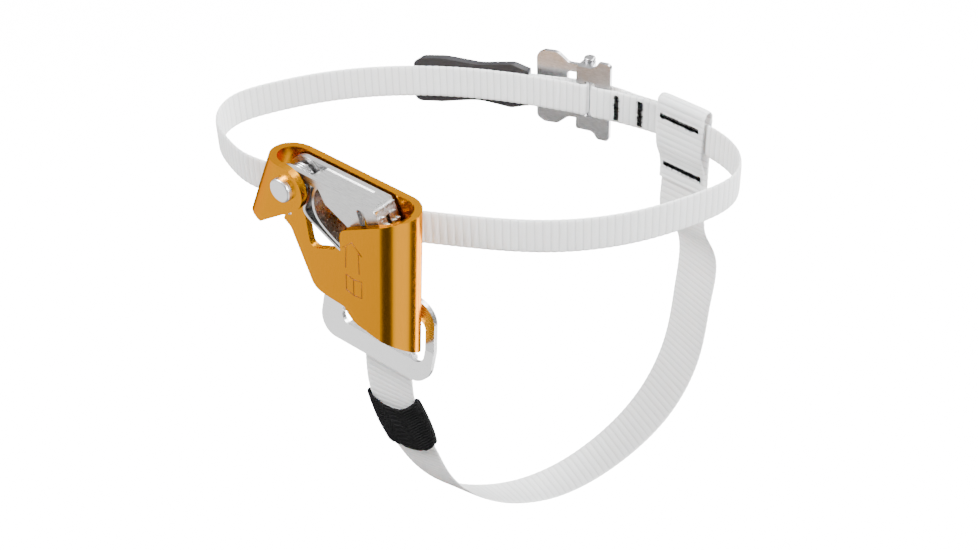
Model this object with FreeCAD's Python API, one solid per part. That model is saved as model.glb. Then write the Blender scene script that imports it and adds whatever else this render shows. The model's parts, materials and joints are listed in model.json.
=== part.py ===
import FreeCAD, Part
import math
import os
from FreeCAD import Rotation, Placement
from FreeCAD import Vector as V

# Foot-mounted rope ascender with an ankle strap and an under-foot strap.
# Frame of the part: the origin is on the rope axis, level with the cam axle.
# +Z runs up the rope, -Y is the open front of the folded frame, and +X points from the
# cam axle to the rope. All sizes are in millimetres.

# ---- driving dimensions -------------------------------------------------------------------
SHEET = 3.0                     # aluminium sheet of the folded frame
CHANNEL_R = 6.5                 # inner radius of the rope channel, for rope up to 13 mm
FRAME_R = CHANNEL_R + SHEET     # outer radius of both folds; the frame is 19 mm deep
FRAME_TOP = 8.2                 # height of the rim above the axle
AXLE_X = -47.2                  # cam axle, measured from the rope axis
AXLE_R = 3.0
BUSH_R = 4.0                    # spacer bush that the cam turns on
FIT = 0.03                      # radial running clearance
EAR_R = 9.5                     # rounded end of the ear around the axle
FOLD_LEAN = math.radians(20)    # the left fold leans back from the vertical
FLANGE_LEFT = -19.2             # free edge of the front flange

BRIDGE_X = (-28.0, -21.0)       # bridge on the back plate that the ankle webbing runs under
BRIDGE_Z = (-24.6, -5.4)
BRIDGE_GAP = 3.4
BRIDGE_T = 2.0

CAM_HALF = 5.5                  # half width of the cam
CAM_TOP = 7.6
TOOTH_R = 1.2
TOOTH_H = 2.0
HUB_R = 7.6
HUB_T = 2.2                     # each side of the hub; the spring coils lie between them
SIDE_PLATE_T = 2.0
LEVER_RIM = 1.1                 # thickness of the rims along the thumb lever
LEVER_FLOOR_Y = 1.5             # front of the web between the rims
AXLE_HEAD_R = 4.9
AXLE_HEAD_T = 2.1
AXLE_TAIL_R = 4.6
AXLE_TAIL_T = 1.5
SPRING_WIRE = 0.55              # wire radius
SPRING_R = 5.2                  # radius of the coils
SPRING_TURNS = 3.5
SPRING_PITCH = 1.2
SPRING_START = 2.1              # Y of the first coil

BRACKET_T = 2.0                 # stainless strap bracket
BRACKET_LEAN = 13.0             # degrees that its lower part leans forward
BRACKET_BEND_Z = -62.3
BAR_R = 2.0                     # round bar that carries the foot webbing
BAR_Y = 12.6
BAR_Z = -74.6
BAR_X = -18.2                   # middle of the foot webbing on the bar
BAR_HEAD_T = 1.0
BAR_HALF = 15.5                 # half length between the bar's heads
LUG_T = 2.0                     # lugs of the bracket that hold the bar's ends
LUG_FRONT_Y = 6.5
LUG_REACH = 2.6                 # how far the lugs run behind the bar's axis
BRACKET_RIVETS = [(-27.0, -43.6), (-9.0, -43.6)]
RIVET_R = 2.0
RIVET_HEAD_R = 3.4
RIVET_HEAD_T = 1.2
COUNTERSINK = 1.6

WEB_T = 1.4                     # webbing thickness
HALF_T = WEB_T / 2
ANKLE_W = 15.0                  # ankle webbing width
FOOT_W = 25.0                   # foot webbing width
LOOP_TILT = 4.5                 # degrees; the ankle loop climbs towards +X
LOOP_DROP = -12.0               # the loop's plane below the axle, along its own normal
TACK_T = 0.5                    # thickness of the sewn bar tacks
TAB_T = 3.4                     # thickness of the moulded end tab

BUCKLE_S = -10.0                # foot of the buckle's pin, in the loop's plane
BUCKLE_Y = 132.9
BUCKLE_TURN = 11.0              # degrees between the webbing there and the X axis
PIN_OUT = 7.4                   # pin's distance outside the webbing's centre line
PIN_R = 1.5
KNOB_R = 2.5
KNOB_T = 1.9
BARREL_R = 2.7
SIDE_IN = 13.3                  # inner faces of the buckle frame's sides
SIDE_T = 1.8

HANGER_S = 37.8                 # middle of the foot webbing's hanger along the ankle loop
HANGER_TOP = 9.6                # over the ankle webbing's mid height
HANGER_CUT = -28.0              # cut end of the layer that hangs inside
HANGER_LOW = -32.0              # where the straight outer layer meets the rest of the run
HANGER_GAP = 1.1                # free space between the hanger and the ankle webbing
SLEEVE_W = 28.0
SLEEVE_DEPTH = 4.6

os.makedirs("parts", exist_ok=True)
nodes = {}


# ---- helpers ------------------------------------------------------------------------------
def rounded_wire(corners, place):
    """Closed wire through (a, b, radius) corners; place maps a and b to a point."""
    edges = []
    joints = []
    count = len(corners)
    for i, (a, b, radius) in enumerate(corners):
        here = V(a, b, 0)
        back = V(corners[i - 1][0], corners[i - 1][1], 0) - here
        ahead = V(corners[(i + 1) % count][0], corners[(i + 1) % count][1], 0) - here
        back.normalize()
        ahead.normalize()
        if radius == 0:
            joints.append((here, None, here))
            continue
        half = back.getAngle(ahead) / 2
        run = radius / math.tan(half)
        middle = back + ahead
        middle.normalize()
        centre = here + middle * (radius / math.sin(half))
        joints.append((here + back * run, centre - middle * radius, here + ahead * run))
    for i, (start, middle, end) in enumerate(joints):
        if middle is not None:
            edges.append(Part.Arc(place(start), place(middle), place(end)).toShape())
        following = joints[(i + 1) % count][0]
        if (following - end).Length > 1e-6:
            edges.append(Part.LineSegment(place(end), place(following)).toShape())
    return Part.Wire(edges)


def upright_plate(corners, y_near, y_far):
    """Plate parallel to the XZ plane, from y_near to y_far; corners are (x, z, radius)."""
    wire = rounded_wire(corners, lambda p: V(p.x, y_near, p.y))
    return Part.Face(wire).extrude(V(0, y_far - y_near, 0))


def rod(radius, start, end):
    return Part.makeCylinder(radius, (end - start).Length, start, end - start)


def tube(outer, inner, start, end):
    return rod(outer, start, end).cut(rod(inner, start, end))


def box(x0, x1, y0, y1, z0, z1):
    return Part.makeBox(x1 - x0, y1 - y0, z1 - z0, V(x0, y0, z0))


def round_edges(shape, radius, wanted):
    """Fillet the edges that pass a test."""
    edges = [edge for edge in shape.Edges if wanted(edge)]
    return shape.makeFillet(radius, edges)


# ---- folded frame -------------------------------------------------------------------------
def fold_x(z):
    """Where the left fold's axis crosses height z."""
    return AXLE_X - 5.6 + z * math.tan(FOLD_LEAN)


def back_plate():
    outline = [(fold_x(FRAME_TOP), FRAME_TOP, 0), (0, FRAME_TOP, 0), (0, -62.1, 0),
               (-48.3, -58.2, 7), (-60.2, -33.0, 5), (fold_x(-30.5), -30.5, 0)]
    plate = upright_plate(outline, CHANNEL_R, FRAME_R)
    window = [(-53.5, -15, 3), (-37, -15, 3), (-36, -32.5, 4), (-49.6, -38.3, 3)]
    return plate.cut(upright_plate(window, CHANNEL_R - 1, FRAME_R + 1))


def front_flange():
    outline = [(FLANGE_LEFT, -5.8, 4.5), (0, 4.6, 0), (0, -48.8, 0),
               (-13.0, -46.4, 7), (FLANGE_LEFT, -40.5, 9)]
    return upright_plate(outline, -FRAME_R, -CHANNEL_R)


def rope_channel():
    """Half round fold that wraps the rope, cut obliquely below and at its front rim."""
    start = V(0, 0, -65)
    end = V(0, 0, FRAME_TOP)
    channel = tube(FRAME_R, CHANNEL_R, start, end).common(box(0, 12, -12, 12, -70, 20))
    below = Part.Face(Part.makePolygon([V(-1, -12, -47.05), V(-1, 12, -63.85), V(-1, 12, -80),
                                        V(-1, -12, -80), V(-1, -12, -47.05)]))
    rim = upright_plate([(-1, 4.1, 0), (0, 4.6, 0), (7.2, FRAME_TOP, 0), (7.2, 20, 0),
                         (-1, 20, 0)], -12, 0)
    return channel.cut(below.extrude(V(14, 0, 0))).cut(rim)


def left_fold():
    """Half round fold on a leaning axis, which joins the back plate to the ear."""
    down = V(-math.sin(FOLD_LEAN), 0, -math.cos(FOLD_LEAN))
    middle = V(fold_x(0), 0, 0)
    bend = tube(FRAME_R, CHANNEL_R, middle - down * 22, middle + down * 40)
    left = [(fold_x(30), 30, 0), (fold_x(-45), -45, 0), (-100, -45, 0), (-100, 30, 0)]
    bend = bend.common(upright_plate(left, -12, 12))
    above = Part.Face(Part.makePolygon([V(-90, -12, 9.7), V(-90, 12, 8.0), V(-90, 12, 40),
                                        V(-90, -12, 40), V(-90, -12, 9.7)]))
    bend = bend.cut(above.extrude(V(60, 0, 0)))
    # the lower end follows the ear's edge, higher at the front than at the back
    normal = V(math.cos(FOLD_LEAN), 0, -math.sin(FOLD_LEAN))
    front = middle + down * 22.8 + V(0, -FRAME_R, 0)
    back = middle + down * 32.0 + V(0, FRAME_R, 0)
    corners = [front, back, back + down * 40, front + down * 40, front]
    below = Part.Face(Part.makePolygon(corners)).extrude(normal * 40)
    below.translate(normal * -20)
    return bend.cut(below)


def ear():
    """Front lug that carries the near end of the axle."""
    tangent = V(0.577, 0, -0.816)
    touch = V(AXLE_X, 0, 0) + tangent * EAR_R
    low = V(fold_x(-21.4), 0, -21.4)
    top = V(AXLE_X, 0, EAR_R)
    side = V(AXLE_X + EAR_R, 0, 0)
    high = V(fold_x(EAR_R), 0, EAR_R)
    arc = Part.Arc(top, side, touch).toShape()
    lines = [Part.LineSegment(a, b).toShape() for a, b in ((touch, low), (low, high), (high, top))]
    face = Part.Face(Part.Wire([arc] + lines))
    face.translate(V(0, -FRAME_R, 0))
    return face.extrude(V(0, SHEET, 0))


def strap_bridge():
    """Bridge that stands off the back plate; the ankle webbing passes under it."""
    x0, x1 = BRIDGE_X
    z0, z1 = BRIDGE_Z
    outer = FRAME_R + BRIDGE_GAP + BRIDGE_T
    bridge = box(x0, x1, FRAME_R, outer, z0 - 3, z1 + 3)
    bridge = round_edges(bridge, 2.0, lambda e: abs(e.BoundBox.YMin - outer) < 0.01
                         and e.BoundBox.XLength > 5)
    return bridge.cut(box(x0 - 1, x1 + 1, FRAME_R, FRAME_R + BRIDGE_GAP, z0, z1))


def countersink(x, z):
    return Part.makeCone(RIVET_R + COUNTERSINK, RIVET_R, COUNTERSINK, V(x, CHANNEL_R, z),
                         V(0, 1, 0))


def frame():
    body = back_plate().fuse([rope_channel(), front_flange(), left_fold(), ear()])
    body = body.removeSplitter()
    x0, x1 = BRIDGE_X
    z0, z1 = BRIDGE_Z
    body = body.cut(box(x0, x1, CHANNEL_R - 1, FRAME_R + 1, z0, z1))
    body = body.fuse(strap_bridge()).removeSplitter()
    body = body.cut(rod(AXLE_R, V(AXLE_X, -20, 0), V(AXLE_X, 20, 0)))
    for x, z in BRACKET_RIVETS:
        body = body.cut(rod(RIVET_R, V(x, 0, z), V(x, 20, z)))
        body = body.cut(countersink(x, z))
    return body


nodes["frame"] = frame()


# ---- cam, its axle, bush and spring -------------------------------------------------------
FACE_TOP = V(-7.2, 0, CAM_TOP)       # gripping face, seen from the side, is one arc
FACE_MID = V(-2.9, 0, 0.0)
FACE_LOW = V(-2.0, 0, -11.0)


def gripping_head():
    arc = Part.Arc(FACE_TOP, FACE_MID, FACE_LOW).toShape()
    rear_low = V(-9.5, 0, -11.5)
    rear_top = V(-13.0, 0, CAM_TOP)
    lines = [Part.LineSegment(FACE_LOW, rear_low).toShape(),
             Part.LineSegment(rear_low, rear_top).toShape(),
             Part.LineSegment(rear_top, FACE_TOP).toShape()]
    face = Part.Face(Part.Wire([arc] + lines))
    face.translate(V(0, -CAM_HALF, 0))
    return face.extrude(V(0, 2 * CAM_HALF, 0))


def teeth():
    """Rows of cones that point up and out of the gripping face."""
    curve = Part.Arc(FACE_TOP, FACE_MID, FACE_LOW).toShape()
    rows = 6
    cones = []
    for row in range(rows):
        share = 0.10 + 0.80 * row / (rows - 1)
        at = curve.valueAt(curve.FirstParameter
                           + share * (curve.LastParameter - curve.FirstParameter))
        along = curve.tangentAt(curve.FirstParameter
                                + share * (curve.LastParameter - curve.FirstParameter))
        out = V(-along.z, 0, along.x)
        if out.x < 0:
            out = out * -1
        out = out + V(0, 0, 0.35)
        out.normalize()
        columns = (-4.1, -1.9, 1.9, 4.1) if row % 2 == 0 else (-3.0, 3.0)
        if row in (0, rows - 1):
            columns = (-4.1, -1.4, 1.4, 4.1)
        for y in columns:
            base = V(at.x, y, at.z) - out * 0.4
            cones.append(Part.makeCone(TOOTH_R, 0.18, TOOTH_H + 0.4, base, out))
    return cones


def cam_body():
    pieces = []
    side_corners = [(AXLE_X, CAM_TOP, 0), (-9.5, CAM_TOP, 0), (-9.0, -11.5, 0),
                    (-20.5, -5.4, 2.5), (-29.8, -1.0, 3), (-33.0, 4.4, 1.5), (AXLE_X, 3.6, 0)]
    for y in (-CAM_HALF, CAM_HALF - SIDE_PLATE_T):
        pieces.append(upright_plate(side_corners, y, y + SIDE_PLATE_T))
    for y in (-CAM_HALF, CAM_HALF - HUB_T):
        pieces.append(rod(HUB_R, V(AXLE_X, y, 0), V(AXLE_X, y + HUB_T, 0)))
    top_web = [(-36.5, CAM_TOP - 0.5, 0), (-9.5, CAM_TOP - 0.5, 0), (-9.5, 4.4, 0),
               (-33.5, 4.4, 0)]
    pieces.append(upright_plate(top_web, -CAM_HALF + 1, CAM_HALF - 1))
    pieces += [gripping_head()] + lever() + teeth()
    body = pieces[0]
    for piece in pieces[1:]:
        body = body.fuse(piece)
    cleaning_slot = [(-8.0, 4.2, 0.8), (2.5, 1.8, 0.8), (2.5, -7.5, 0.8), (-8.0, -5.5, 0.8)]
    body = body.cut(upright_plate(cleaning_slot, -0.9, 0.9))
    side_window = [(-14.8, 4.2, 1.2), (-10.8, 4.2, 1.2), (-8.0, -3.6, 1.2), (-11.2, -5.6, 1.2)]
    body = body.cut(upright_plate(side_window, -CAM_HALF - 1, CAM_HALF + 1))
    body = body.cut(rod(BUSH_R + FIT, V(AXLE_X, -20, 0), V(AXLE_X, 20, 0)))
    return body.removeSplitter()


def along_curve(curve, count):
    """Evenly shared points of a curve, each with its tangent."""
    first, last = curve.FirstParameter, curve.LastParameter
    found = []
    for i in range(count + 1):
        u = first + (last - first) * i / count
        found.append((curve.value(u), curve.tangent(u)[0]))
    return found


def lever():
    """Curved thumb lever below the hub: a web between two full depth rims."""
    outer = [V(-39.4, 0, 5.5), V(-39.0, 0, -2.5), V(-41.0, 0, -9.5), V(-36.2, 0, -13.2),
             V(-24.0, 0, -19.0), V(-13.0, 0, -23.6)]
    inner = [V(-13.0, 0, -19.8), V(-22.6, 0, -16.2), V(-28.6, 0, -13.0), V(-34.2, 0, -8.0),
             V(-35.4, 0, -3.4), V(-32.4, 0, 5.5)]
    low = Part.BSplineCurve()
    low.interpolate(outer)
    high = Part.BSplineCurve()
    high.interpolate(inner)
    tip = Part.Arc(outer[-1], V(-11.2, 0, -21.7), inner[0]).toShape()
    root = Part.LineSegment(inner[-1], outer[0]).toShape()
    web = Part.Face(Part.Wire([low.toShape(), tip, high.toShape(), root]))
    web.translate(V(0, LEVER_FLOOR_Y, 0))
    pieces = [web.extrude(V(0, CAM_HALF - LEVER_FLOOR_Y, 0))]
    for curve in (low, high):
        inset = [p + V(t.z, 0, -t.x) * -LEVER_RIM for p, t in along_curve(curve, 10)]
        second = Part.BSplineCurve()
        second.interpolate(inset)
        ends = [Part.LineSegment(curve.StartPoint, inset[0]).toShape(),
                Part.LineSegment(curve.EndPoint, inset[-1]).toShape()]
        rim = Part.Face(Part.Wire([curve.toShape(), ends[1], second.toShape(), ends[0]]))
        rim.translate(V(0, -CAM_HALF, 0))
        pieces.append(rim.extrude(V(0, 2 * CAM_HALF, 0)))
    return pieces


nodes["cam"] = cam_body()


def cam_axle():
    """Rivet through the ear, the bush and the back plate, with a domed head at the front."""
    shank = rod(AXLE_R, V(AXLE_X, -FRAME_R - 0.5, 0), V(AXLE_X, FRAME_R + 0.5, 0))
    front = -FRAME_R - AXLE_HEAD_T
    back = FRAME_R + AXLE_TAIL_T
    head = rod(AXLE_HEAD_R, V(AXLE_X, front, 0), V(AXLE_X, -FRAME_R, 0))
    head = round_edges(head, 0.7, lambda e: abs(e.BoundBox.YMax - front) < 0.01)
    tail = rod(AXLE_TAIL_R, V(AXLE_X, FRAME_R, 0), V(AXLE_X, back, 0))
    tail = round_edges(tail, 0.6, lambda e: abs(e.BoundBox.YMin - back) < 0.01)
    return shank.fuse([head, tail]).removeSplitter()


nodes["cam_axle"] = cam_axle()
nodes["axle_bush"] = tube(BUSH_R, AXLE_R, V(AXLE_X, -CHANNEL_R, 0), V(AXLE_X, CHANNEL_R, 0))


def cam_spring():
    """Torsion spring round the bush, one leg under the ear and one on the cam's web."""
    coil = Part.makeHelix(SPRING_PITCH, SPRING_TURNS * SPRING_PITCH, SPRING_R)
    section = Part.Wire(Part.makeCircle(SPRING_WIRE, V(SPRING_R, 0, 0), V(0, 1, 0)))
    wire = Part.Wire(coil).makePipeShell([section], True, True)
    wire.Placement = Placement(V(AXLE_X, SPRING_START, 0), Rotation(V(1, 0, 0), 90))
    near = wire.BoundBox.YMin + SPRING_WIRE
    far = wire.BoundBox.YMax - SPRING_WIRE
    ear_leg = rod(SPRING_WIRE, V(AXLE_X - SPRING_R, near, 0), V(AXLE_X - 4.0, near, -17.4))
    web_leg = rod(SPRING_WIRE, V(AXLE_X + SPRING_R, far, 0), V(AXLE_X + 7.0, far, 3.8))
    return wire.fuse([ear_leg, web_leg])


nodes["cam_spring"] = cam_spring()


# ---- stainless strap bracket --------------------------------------------------------------
def lean(shape):
    shape.rotate(V(0, FRAME_R + BRACKET_T, BRACKET_BEND_Z), V(1, 0, 0), -BRACKET_LEAN)
    return shape


def strap_bracket():
    back = FRAME_R + BRACKET_T
    outline = [(-46.3, -40.0, 6), (11.0, -39.0, 9), (11.0, -78.4, 9), (-46.3, -78.4, 9)]
    window = [(-35.8, -48.2, 4), (6.6, -48.2, 4), (6.6, -69.8, 4), (-35.8, -69.8, 4)]
    plate = upright_plate(outline, FRAME_R, back)
    plate = plate.cut(upright_plate(window, FRAME_R - 1, back + 1))
    for x, z in BRACKET_RIVETS:
        plate = plate.cut(rod(RIVET_R, V(x, 0, z), V(x, 20, z)))
    upper = plate.common(box(-60, 20, 0, 20, BRACKET_BEND_Z, -30))
    lower = lean(plate.common(box(-60, 20, 0, 20, -90, BRACKET_BEND_Z + 0.4)))
    lugs = []
    for side in (-1, 1):
        x = BAR_X + side * (BAR_HALF - LUG_T / 2)
        lug = box(x - LUG_T / 2, x + LUG_T / 2, LUG_FRONT_Y, BAR_Y + LUG_REACH,
                  BAR_Z - 3.2, BAR_Z + 4.0)
        lug = round_edges(lug, 2.4, lambda e: e.BoundBox.YMin > BAR_Y + LUG_REACH - 0.1
                          and e.BoundBox.XLength > 1)
        front = lean(box(-60, 20, -20, FRAME_R + 0.5, -90, BRACKET_BEND_Z))
        lugs.append(lug.cut(front))
    bracket = upper.fuse([lower] + lugs)
    return bracket.cut(rod(BAR_R, V(-60, BAR_Y, BAR_Z), V(20, BAR_Y, BAR_Z))).removeSplitter()


nodes["strap_bracket"] = strap_bracket()


def strap_bar():
    """Round bar between the bracket's lugs, with its ends upset over them."""
    bar = rod(BAR_R, V(BAR_X - BAR_HALF, BAR_Y, BAR_Z), V(BAR_X + BAR_HALF, BAR_Y, BAR_Z))
    heads = [rod(BAR_R + 0.8, V(BAR_X + s * BAR_HALF, BAR_Y, BAR_Z),
                 V(BAR_X + s * (BAR_HALF + BAR_HEAD_T), BAR_Y, BAR_Z)) for s in (-1, 1)]
    return bar.fuse(heads).removeSplitter()


nodes["strap_bar"] = strap_bar()


def bracket_rivet(x, z):
    shank = rod(RIVET_R, V(x, CHANNEL_R, z), V(x, FRAME_R + BRACKET_T, z))
    seat = FRAME_R + BRACKET_T
    head = rod(RIVET_HEAD_R, V(x, seat, z), V(x, seat + RIVET_HEAD_T, z))
    head = round_edges(head, 0.6, lambda e: e.BoundBox.YMin > seat + RIVET_HEAD_T - 0.1)
    return shank.fuse([countersink(x, z), head]).removeSplitter()


nodes["bracket_rivets"] = Part.Compound([bracket_rivet(x, z) for x, z in BRACKET_RIVETS])


# ---- ankle webbing ------------------------------------------------------------------------
# Centre line of the webbing in the loop's own plane, as (distance along the tilted X, Y).
# It starts at the buckle's end bar, runs round the open side to the frame, passes under the
# strap guide, and comes back to the buckle.
LOOP_LINE = [(-1.6, 134.9), (26.6, 137.8), (49.5, 134.6), (68.9, 125.4), (77.2, 110.5),
             (73.5, 90.5), (61.8, 66.8), (41.6, 44.0), (12.0, 26.3), (-6.0, 18.0),
             (-24.5, 11.3), (-48.0, 11.9), (-70.0, 11.2), (-88.0, 10.2), (-104.0, 15.2),
             (-117.8, 23.5), (-125.7, 40.0), (-120.7, 57.0), (-106.5, 79.7), (-84.7, 101.0),
             (-58.3, 117.0), (-33.2, 126.8), (-10.0, 132.9)]
LOOP_MID_Y = 60.0                # between the loop's near half and its far half
loop_curve = Part.BSplineCurve()
loop_curve.interpolate([V(s, y, 0) for s, y in LOOP_LINE])


def loop_share(s):
    """Curve parameter of the point at distance s on the far half of the loop."""
    first, last = loop_curve.FirstParameter, loop_curve.LastParameter
    steps = 4000
    best = None
    for i in range(steps + 1):
        u = first + (last - first) * i / steps
        p = loop_curve.value(u)
        if p.y > LOOP_MID_Y and (best is None or abs(p.x - s) < best[0]):
            best = (abs(p.x - s), u)
    return best[1]


def tilt(shape):
    """Carry a shape from the loop's plane to its place on the part."""
    shape.rotate(V(0, 0, 0), V(0, 1, 0), -LOOP_TILT)
    normal = V(-math.sin(math.radians(LOOP_TILT)), 0, math.cos(math.radians(LOOP_TILT)))
    shape.translate(normal * LOOP_DROP)
    return shape


def loop_point(u, out):
    """Point beside the centre line, out mm towards the outside of the loop."""
    p = loop_curve.value(u)
    t = loop_curve.tangent(u)[0]
    return V(p.x - t.y * out, p.y + t.x * out, 0)


def band(u0, u1, inner, outer, height, samples):
    """Strip that follows the loop from u0 to u1, between two distances from its centre line."""
    rails = []
    for out in (inner, outer):
        rail = Part.BSplineCurve()
        rail.interpolate([loop_point(u0 + (u1 - u0) * i / samples, out)
                          for i in range(samples + 1)])
        rails.append(rail)
    caps = [Part.LineSegment(rails[0].value(p), rails[1].value(q)).toShape()
            for p, q in ((rails[0].FirstParameter, rails[1].FirstParameter),
                         (rails[0].LastParameter, rails[1].LastParameter))]
    face = Part.Face(Part.Wire([rails[0].toShape(), caps[1], rails[1].toShape(), caps[0]]))
    face.translate(V(0, 0, -height / 2))
    return face.extrude(V(0, 0, height))


def place_on_loop(shape):
    """Carry a shape drawn along X, with Y out of the loop, to the foot of the buckle's pin."""
    shape.rotate(V(0, 0, 0), V(0, 0, 1), BUCKLE_TURN)
    shape.translate(V(BUCKLE_S, BUCKLE_Y, 0))
    return tilt(shape)


def buckle_point(x, y):
    """Point given beside the foot of the buckle's pin, in the loop's plane."""
    c = math.cos(math.radians(BUCKLE_TURN))
    n = math.sin(math.radians(BUCKLE_TURN))
    return V(BUCKLE_S + x * c - y * n, BUCKLE_Y + x * n + y * c, 0)


def beside_loop(stations):
    return [loop_point(loop_share(along), out) for along, out in stations]


def ankle_path():
    """Middle of the webbing: sewn end, round the end bar, the loop, the middle bar, the tail."""
    points = beside_loop([(26.6, 0), (20.0, 0), (14.0, 0), (9.0, 0), (4.0, 0)])
    points += [buckle_point(x, y) for x, y in ((8.8, -0.1), (5.6, 0.0), (4.1, 0.7), (3.7, 1.9),
                                               (4.2, 3.15), (5.6, 3.75), (12.2, 3.9))]
    points += beside_loop([(6.5, 3.2), (10.0, 2.5), (14.0, 1.9), (18.0, 1.6), (26.0, 1.55),
                           (30.5, 1.1), (35.0, 0.3), (39.0, 0)])
    first = loop_share(44.0)
    last = loop_curve.LastParameter
    count = 70
    points += [loop_point(first + (last - first) * i / count, 0) for i in range(count - 1)]
    points += [buckle_point(x, y) for x, y in ((-1.8, 0), (-0.4, 0.0), (0.9, 0.7), (1.3, 1.9),
                                               (0.9, 3.15), (-0.4, 3.75), (-3.0, 3.8))]
    points += beside_loop([(-18.0, 3.3), (-24.0, 2.4), (-29.0, 1.9), (-35.0, 1.6)])
    return points


def ankle_webbing():
    """One length of webbing, as the strip between two rails beside its middle line."""
    path = Part.BSplineCurve()
    path.interpolate(ankle_path())
    samples = 420
    rails = []
    for side in (-HALF_T, HALF_T):
        points = []
        for i in range(samples + 1):
            u = path.FirstParameter + (path.LastParameter - path.FirstParameter) * i / samples
            t = path.tangent(u)[0]
            points.append(path.value(u) + V(-t.y, t.x, 0) * side)
        rail = Part.BSplineCurve()
        rail.interpolate(points)
        rails.append(rail)
    caps = [Part.LineSegment(rails[0].StartPoint, rails[1].StartPoint).toShape(),
            Part.LineSegment(rails[0].EndPoint, rails[1].EndPoint).toShape()]
    face = Part.Face(Part.Wire([rails[0].toShape(), caps[1], rails[1].toShape(), caps[0]]))
    face.translate(V(0, 0, -ANKLE_W / 2))
    return tilt(face.extrude(V(0, 0, ANKLE_W)))


def tail_tab():
    """Moulded end tab, waisted in the middle so that fingers can hold it."""
    near, far = loop_share(-34.0), loop_share(-82.0)
    lift = 1.0
    slab = band(far, near, lift, lift + TAB_T, 22.0, 16)
    outline = [(-80.2, 10.4, 3), (-70, 10.6, 12), (-56, 8.5, 20), (-42, 10.6, 5),
               (-36, 8.6, 3), (-30, 7.4, 0), (-30, -7.4, 0), (-36, -8.6, 3),
               (-42, -10.6, 5), (-56, -8.5, 20), (-70, -10.6, 12), (-80.2, -10.4, 3)]
    return tilt(slab.common(upright_plate(outline, 90, 140)))


nodes["tail_tab"] = tail_tab()


def ankle_tack(u):
    """Dense zigzag stitch across the ankle webbing, on the inside of the sewn layers."""
    at = loop_point(u, -HALF_T)
    t = loop_curve.tangent(u)[0]
    half = ANKLE_W / 2 - 1.5
    block = box(-0.9, 0.9, -TACK_T, 0, -half, half)
    block.rotate(V(0, 0, 0), V(0, 0, 1), math.degrees(math.atan2(t.y, t.x)))
    block.translate(at)
    return tilt(block)


nodes["ankle_tack_near_buckle"] = ankle_tack(loop_share(5.6))
nodes["ankle_tack_far"] = ankle_tack(loop_share(16.4))


# ---- buckle -------------------------------------------------------------------------------
def buckle_frame():
    outline = [(-3.4, SIDE_IN + SIDE_T, 1), (4.6, SIDE_IN + SIDE_T, 3), (6.6, 18.4, 1.5),
               (12.2, 18.4, 2), (12.2, -18.4, 2), (6.6, -18.4, 1.5),
               (4.6, -SIDE_IN - SIDE_T, 3), (-3.4, -SIDE_IN - SIDE_T, 1)]
    plate = upright_plate(outline, 1.0, 2.8)
    window = [(0.2, 8.6, 1.5), (5.2, 8.6, 1.5), (5.2, -8.6, 1.5), (0.2, -8.6, 1.5)]
    plate = plate.cut(upright_plate(window, 0, 4))
    cheeks = []
    for side in (-1, 1):
        z = side * (SIDE_IN + SIDE_T / 2)
        corners = [V(-3.4, 1.5, 0), V(3.4, 1.5, 0), V(2.6, PIN_OUT + 1.6, 0),
                   V(-2.6, PIN_OUT + 1.6, 0), V(-3.4, 1.5, 0)]
        cheek = Part.Face(Part.makePolygon(corners)).extrude(V(0, 0, SIDE_T))
        cheek.translate(V(0, 0, z - SIDE_T / 2))
        cheek = round_edges(cheek, 1.6, lambda e: e.BoundBox.ZLength > 1
                            and e.BoundBox.YMin > PIN_OUT)
        cheeks.append(cheek)
    body = plate.fuse(cheeks)
    return body.cut(rod(PIN_R, V(0, PIN_OUT, -20), V(0, PIN_OUT, 20))).removeSplitter()


def buckle_lever():
    """Finger plate with two side arms; its barrel turns on the pin and its nose grips."""
    barrel = rod(BARREL_R, V(0, PIN_OUT, -SIDE_IN + 0.15), V(0, PIN_OUT, SIDE_IN - 0.15))
    outline = [(-23.4, 15.2, 3), (-20.0, 17.3, 3), (-14.0, 17.3, 4), (-9.0, 13.0, 3),
               (0, 13.0, 0), (0, -13.0, 0), (-9.0, -13.0, 3), (-14.0, -17.3, 4),
               (-20.0, -17.3, 3), (-23.4, -15.2, 3)]
    plate = upright_plate(outline, PIN_OUT - 1.0, PIN_OUT + 0.9)
    opening = [(-9.6, 9.2, 1.5), (-3.6, 9.2, 1.5), (-3.6, -9.2, 1.5), (-9.6, -9.2, 1.5)]
    plate = plate.cut(upright_plate(opening, 0, 12))
    plate.rotate(V(0, PIN_OUT, 0), V(0, 0, 1), 6.0)
    nose_corners = [V(-2.6, PIN_OUT - 0.4, 0), V(-2.0, PIN_OUT - 2.55, 0),
                    V(-0.6, PIN_OUT - 2.55, 0), V(1.2, PIN_OUT - 1.2, 0),
                    V(-2.6, PIN_OUT - 0.4, 0)]
    nose = Part.Face(Part.makePolygon(nose_corners)).extrude(V(0, 0, 16.4))
    nose.translate(V(0, 0, -8.2))
    body = barrel.fuse([plate, nose])
    return body.cut(rod(PIN_R + FIT, V(0, PIN_OUT, -20), V(0, PIN_OUT, 20))).removeSplitter()


def buckle_pin():
    reach = SIDE_IN + SIDE_T
    shank = rod(PIN_R, V(0, PIN_OUT, -reach), V(0, PIN_OUT, reach))
    knobs = [rod(KNOB_R, V(0, PIN_OUT, s * reach), V(0, PIN_OUT, s * (reach + KNOB_T)))
             for s in (-1, 1)]
    knobs = [round_edges(knob, 0.8, lambda e: abs(abs(e.BoundBox.ZMax) - reach - KNOB_T) < 0.01)
             for knob in knobs]
    return shank.fuse(knobs).removeSplitter()


nodes["buckle_frame"] = place_on_loop(buckle_frame())
nodes["buckle_lever"] = place_on_loop(buckle_lever())
nodes["buckle_pin"] = place_on_loop(buckle_pin())
nodes["ankle_webbing"] = ankle_webbing()


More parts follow.
